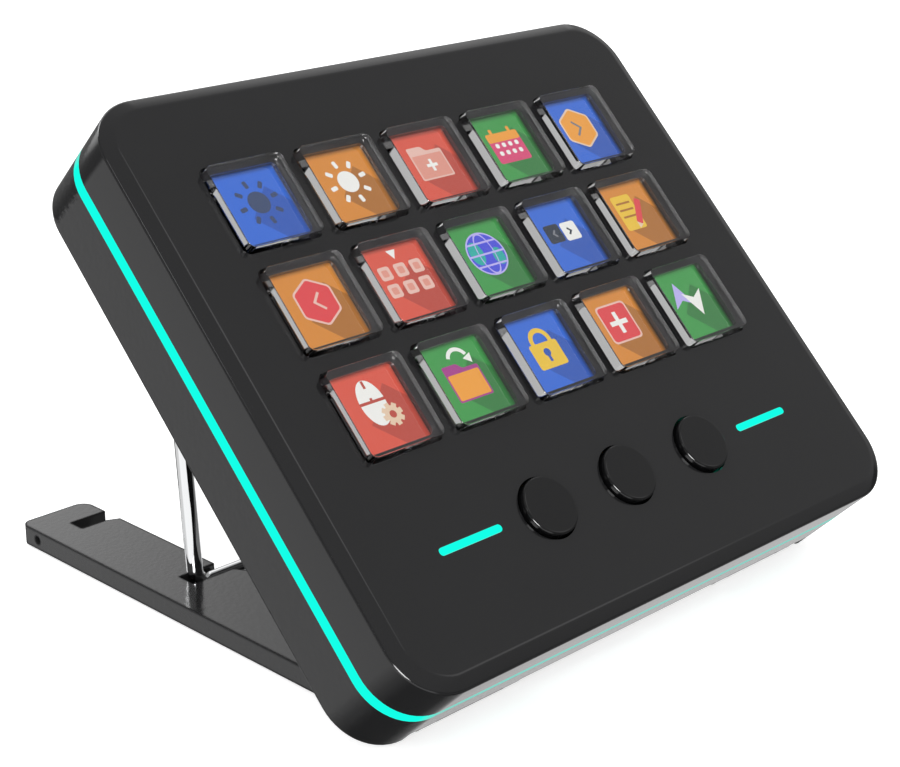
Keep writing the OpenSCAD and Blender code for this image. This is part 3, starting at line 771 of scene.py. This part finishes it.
def studio_world():
    """White backdrop to the camera; gloss and glass see a grey room, lamps and a bright band on the left."""
    world = bpy.data.worlds.new("studio")
    world.use_nodes = True
    tree = world.node_tree
    tree.nodes.clear()
    path = add_node(tree, "ShaderNodeLightPath").outputs
    mirrored = calculate(tree, "MAXIMUM", path["Is Glossy Ray"], path["Is Transmission Ray"])
    mirrored = calculate(tree, "SUBTRACT", mirrored, path["Is Camera Ray"])
    way = add_node(tree, "ShaderNodeTexCoord").outputs["Generated"]
    axes = add_node(tree, "ShaderNodeSeparateXYZ", {0: way}).outputs
    room = ramp(tree, axes["Z"], (0.0, 0.25), (0.3, 0.4))
    dim = {"Value": axes["X"], "From Min": -0.7, "From Max": -0.3, "To Min": 0.6}
    dim = add_node(tree, "ShaderNodeMapRange", dim).outputs[0]
    room = calculate(tree, "MULTIPLY", room, dim)
    band = ramp(tree, axes["Z"], (0.04, 0.0), (0.09, 1.0), (0.13, 1.0), (0.2, 0.0))
    left = {"Value": axes["X"], "From Min": -0.45, "From Max": -0.8}
    left = add_node(tree, "ShaderNodeMapRange", left).outputs[0]
    total = calculate(tree, "ADD", room, calculate(tree, "MULTIPLY", band, left))
    for towards, wide, narrow, level in LAMPS:
        lamp = calculate(tree, "MULTIPLY", near(tree, way, towards, wide, narrow), level)
        total = calculate(tree, "ADD", total, lamp)
    through = calculate(tree, "MULTIPLY", path["Is Transmission Ray"], 0.3)
    total = calculate(tree, "MULTIPLY", total, calculate(tree, "ADD", through, 1.0))
    soft = add_node(tree, "ShaderNodeBackground", {"Color": (1, 1, 1, 1)})
    sky = add_node(tree, "ShaderNodeBackground", {"Color": (1, 1, 1, 1), "Strength": total})
    mix = add_node(tree, "ShaderNodeMixShader", {0: mirrored, 1: soft.outputs[0], 2: sky.outputs[0]})
    add_node(tree, "ShaderNodeOutputWorld", {"Surface": mix.outputs[0]})
    return world


# ---------------------------------------------------------------- pictures

PAINTS = {
    "blue": "#2F6AD6",
    "blue_shade": "#2857B6",
    "orange": "#D98A32",
    "orange_shade": "#AE6E29",
    "red": "#DC5643",
    "red_shade": "#BC483A",
    "green": "#3A9A48",
    "green_shade": "#2E7C3B",
    "slate": "#34466B",
    "white": "#F4F4F0",
    "pale": "#EBC0B4",
    "salmon": "#E39A8A",
    "amber": "#F2A23A",
    "pink": "#DC4878",
    "scarlet": "#E2444A",
    "grey": "#7C7F86",
    "ink": "#26303F",
    "yellow": "#EEC53C",
    "indigo": "#484EDC",
    "teal": "#22AFA6",
    "lavender": "#BDB4F2",
    "magenta": "#A63A8C",
    "sand": "#E9CDB0",
}


def sun(draw, paint):
    """A disc with eight rays."""
    draw.disc(paint, 2.05)
    for step in range(8):
        turn = step * 45 + 12
        away = Vector((3.55 * math.cos(math.radians(turn)), 3.55 * math.sin(math.radians(turn))))
        draw.block(paint, 1.4, 0.8, away, turn, corner=0.25)


def folder(draw, front, back, at=(0, 0)):
    """A folder with its tab."""
    x, y = at
    tab = ((-3.7, -3.2), (3.7, -3.2), (3.7, 2.4), (0.4, 2.4), (-0.5, 3.4), (-3.7, 3.4))
    draw.shape(back, tab, at, corner=0.35)
    draw.shape(front, ((-3.4, -2.9), (3.4, -2.9), (3.4, 1.7), (-3.4, 1.7)), at, layer=2, corner=0.3)


def folder_plus(draw):
    """A folder with a plus."""
    folder(draw, "salmon", "pale")
    draw.plus("white", 2.4, (0, -0.5), layer=3, width=0.6)


def calendar(draw):
    """A calendar sheet with two rings."""
    draw.block("pink", 7.8, 6.2, (0, -0.45), corner=0.5)
    draw.block("amber", 7.8, 1.8, (0, 1.75), layer=2, corner=0.4)
    for x in (-2.2, 2.2):
        draw.block("amber", 0.7, 1.4, (x, 2.9), layer=2, corner=0.25)
    for x in (-2.4, -0.8, 0.8, 2.4):
        for y in (0.1, -1.5):
            draw.block("white", 0.9, 0.9, (x, y), layer=2, corner=0.3)


def signpost(draw, plate, rim, arrow, turn):
    """A six-sided plate with an arrowhead."""
    draw.disc(rim, 4.4, sides=6, corner=0.5)
    draw.disc(plate, 4.0, sides=6, layer=2, corner=0.4)
    draw.chevron(arrow, 1.7, turn=turn, layer=3, width=0.65)


def tiles(draw):
    """Six tiles below a pointer."""
    draw.shape("white", ((-1.0, 0.8), (1.0, 0.8), (0, -0.9)), (0, 4.4))
    for x in (-3.45, 0, 3.45):
        for y in (1.4, -1.9):
            draw.block("pale", 2.5, 2.5, (x, y), corner=0.5)
            draw.block("salmon", 1.3, 1.3, (x, y), layer=2, corner=0.3)


def globe(draw):
    """A globe with its circles."""
    draw.disc("lavender", 4.2)
    draw.disc("indigo", 3.9, layer=2)
    draw.disc("teal", 1.5, (-2.1, 0.4), layer=3, squash=(1, 1.5))
    draw.disc("teal", 1.2, (2.3, -0.9), layer=3, squash=(1, 1.4))
    draw.arc("lavender", 3.9, 0.4, layer=4, squash=(0.45, 1))
    draw.block("lavender", 7.9, 0.35, layer=4)
    draw.block("lavender", 6.8, 0.35, (0, 2.2), layer=4)
    draw.block("lavender", 6.8, 0.35, (0, -2.2), layer=4)


def windows(draw):
    """A dark and a light window side by side."""
    draw.block("ink", 3.65, 3.65, (-2.02, 0.1), corner=0.5)
    draw.chevron("grey", 0.8, (-2.02, 0.1), 180)
    draw.block("white", 3.65, 3.65, (2.02, -0.1), corner=0.5)
    draw.chevron("ink", 0.8, (2.02, -0.1))


def notes(draw):
    """A sheet with three lines and a pencil."""
    draw.block("yellow", 5.0, 7.2, (-1, 0.2), corner=0.5)
    for y in (2.2, 0.8, -0.6):
        draw.block("orange_shade", 3.6, 0.4, (-1, y), layer=2)
    draw.block("scarlet", 5.4, 1.4, (1.6, 0), 60, layer=3, corner=0.3)
    draw.shape("sand", ((0, 0.7), (-1.2, 0), (0, -0.7)), (0.3, -2.3), 60, layer=3)


def mouse(draw):
    """A mouse and a toothed wheel."""
    draw.disc("white", 2.5, (-0.6, 0.4), squash=(1, 1.6))
    draw.block("red_shade", 5.2, 0.5, (-0.6, 0.6), layer=2)
    draw.block("red_shade", 0.5, 3.6, (-0.6, 2.5), layer=2)
    draw.block("white", 0.9, 1.7, (-0.6, 2.1), layer=3, corner=0.3)
    for step in range(4):
        draw.block("sand", 4.0, 0.9, (1.8, -2.3), step * 45 + 10, layer=3)
    draw.disc("sand", 1.5, (1.8, -2.3), layer=4)
    draw.disc("red_shade", 0.65, (1.8, -2.3), layer=5)


def folder_move(draw):
    """A folder below an arrow that goes into it."""
    folder(draw, "amber", "magenta", (0, -1.2))
    draw.arc("white", 2.0, 0.7, (0.6, 2.6), start=20, sweep=140, layer=3)
    draw.shape("white", ((0, 1.0), (0, -1.0), (1.5, 0)), (2.5, 3.0), -70, layer=3)


def padlock(draw):
    """A closed padlock."""
    draw.arc("yellow", 2.0, 0.9, (0, 1.3), start=0, sweep=180)
    for x in (-2.0, 2.0):
        draw.block("yellow", 0.9, 1.6, (x, 0.7))
    draw.block("yellow", 6.5, 4.75, (0, -1.4), layer=2, corner=0.5)
    draw.disc("blue_shade", 0.75, (0, -0.9), layer=3)
    draw.block("blue_shade", 0.6, 1.7, (0, -1.8), layer=3)


def new_note(draw):
    """A card with a plus."""
    draw.block("pale", 7.4, 7.5, corner=0.9)
    draw.block("scarlet", 6.7, 6.8, layer=2, corner=0.7)
    draw.plus("white", 4.2, layer=3, width=0.9)


def up_down(draw):
    """An arrow up and an arrow down."""
    arrow = ((-2.5, -2.3), (0, -1.0), (2.5, -2.3), (0, 2.7))
    draw.shape("lavender", arrow, (-1.5, 1.0))
    draw.shape("white", arrow, (1.6, -1.0), 180, layer=2)


# Tile, reach of its shadow, motif and what the motif is called with
PICTURES = (
    (
        ("blue", 2.6, sun, ("slate",)),
        ("orange", 2.6, sun, ("white",)),
        ("red", 3.2, folder_plus, ()),
        ("green", 3.2, calendar, ()),
        ("blue", 3.0, signpost, ("amber", "sand", "grey", 0)),
    ),
    (
        ("orange", 3.0, signpost, ("scarlet", "pale", "pale", 180)),
        ("red", 3.0, tiles, ()),
        ("green", 3.0, globe, ()),
        ("blue", 2.4, windows, ()),
        ("orange", 3.0, notes, ()),
    ),
    (
        ("red", 3.0, mouse, ()),
        ("green", 3.0, folder_move, ()),
        ("blue", 2.8, padlock, ()),
        ("orange", 3.4, new_note, ()),
        ("green", 2.6, up_down, ()),
    ),
)


# ---------------------------------------------------------------- panel and registration


class KEYPAD_PT_panel(bpy.types.Panel):
    """Lists the keypad's pieces in the 3D view's sidebar."""

    bl_idname = "KEYPAD_PT_panel"
    bl_label = "Macro Keypad"
    bl_space_type = "VIEW_3D"
    bl_region_type = "UI"
    bl_category = "Keypad"

    def draw(self, context):
        for operator in OPERATORS:
            self.layout.operator(operator.bl_idname)
        for group in SETTINGS:
            box = self.layout.box()
            settings = getattr(context.scene, group)
            for name in settings.__annotations__:
                box.prop(settings, name)


OPERATORS = (
    KEYPAD_OT_shells,
    KEYPAD_OT_lights,
    KEYPAD_OT_inside,
    KEYPAD_OT_pictures,
    KEYPAD_OT_caps,
    KEYPAD_OT_dials,
    KEYPAD_OT_stand,
    KEYPAD_OT_stage,
)
SETTINGS = {
    "keypad_finish": KeypadFinish,
    "keypad_keys": KeypadKeys,
    "keypad_dials": KeypadDials,
    "keypad_stage": KeypadStage,
}


def register():
    for group in SETTINGS.values():
        bpy.utils.register_class(group)
    for name, group in SETTINGS.items():
        setattr(bpy.types.Scene, name, bpy.props.PointerProperty(type=group))
    for item in (*OPERATORS, KEYPAD_PT_panel):
        bpy.utils.register_class(item)


def unregister():
    for item in (KEYPAD_PT_panel, *OPERATORS):
        bpy.utils.unregister_class(item)
    for name, group in SETTINGS.items():
        delattr(bpy.types.Scene, name)
        bpy.utils.unregister_class(group)


def main():
    register()
    bpy.ops.keypad.shells()
    bpy.ops.keypad.lights()
    bpy.ops.keypad.inside()
    bpy.ops.keypad.pictures()
    bpy.ops.keypad.caps()
    bpy.ops.keypad.dials()
    bpy.ops.keypad.stand()
    bpy.ops.keypad.stage()


if __name__ == "__main__":
    main()
